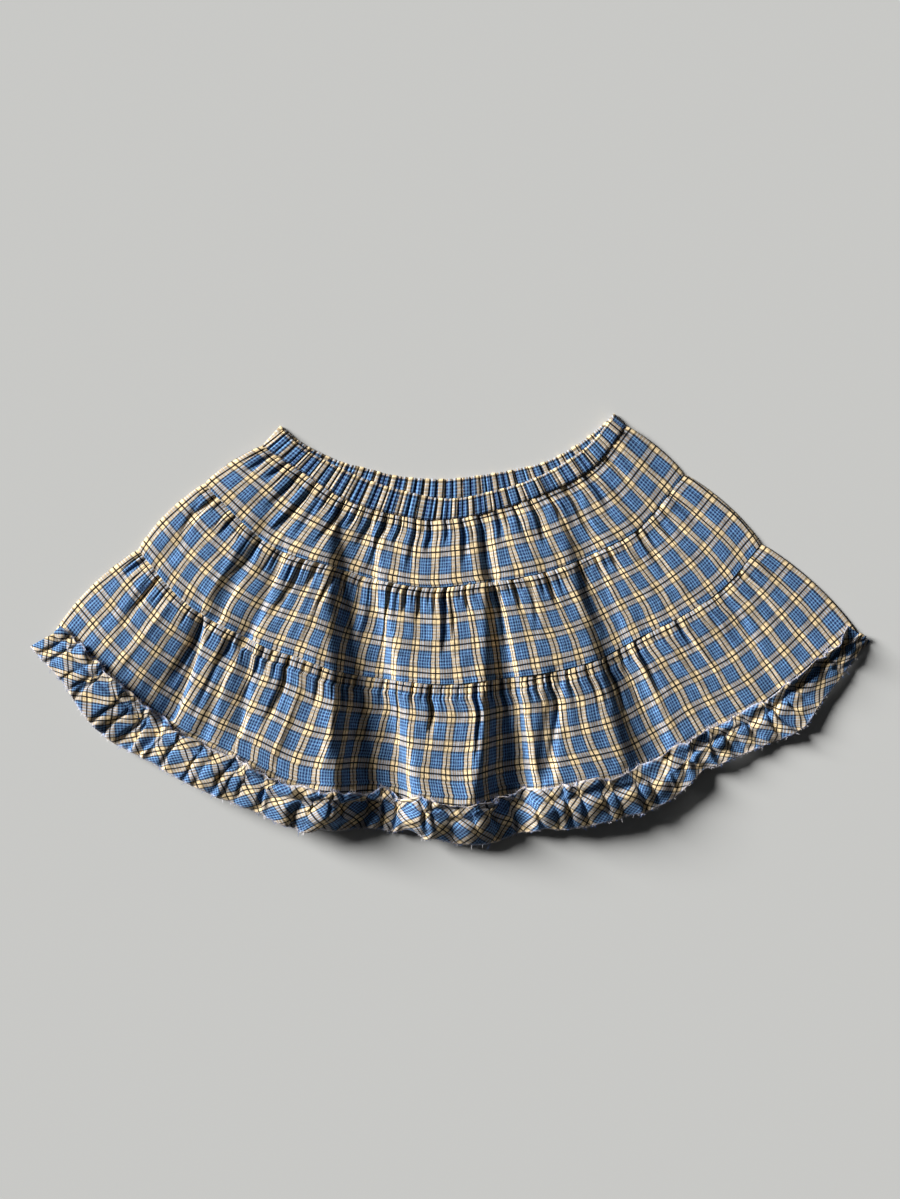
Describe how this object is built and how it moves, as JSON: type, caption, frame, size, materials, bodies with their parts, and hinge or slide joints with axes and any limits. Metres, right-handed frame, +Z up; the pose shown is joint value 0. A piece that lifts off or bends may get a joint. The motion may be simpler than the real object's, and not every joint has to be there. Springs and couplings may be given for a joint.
{
  "type": "tiered ruffle-hem mini skirt",
  "caption": "Tiered mini skirt laid flat, with an elastic gathered waist, gathered tiers in a woven check and a bias-cut raw-edged ruffle along its hem.",
  "frame": {"origin": "on the surface that the skirt lies on, below the middle of its box", "axes": "+X towards the skirt's side that is on the right seen from above, +Y from the hem towards the waist, +Z up off the surface, out of the front"},
  "size_m": [0.799, 0.4072, 0.0362],
  "materials": {
    "check_cotton": "crisp matte woven cotton, blue and cream check on the straight grain",
    "bias_ruffle": "the same check cut on the bias, with frayed raw edges"
  },
  "bodies": {
    "root": {"waistband_front": "check_cotton", "waistband_back": "check_cotton", "tier_1_front": "check_cotton", "tier_1_back": "check_cotton", "tier_2_front": "check_cotton", "tier_2_back": "check_cotton", "tier_3_front": "check_cotton", "tier_3_back": "check_cotton", "hem_ruffle_front": "bias_ruffle", "hem_ruffle_back": "bias_ruffle"}
  },
  "joints": []
}
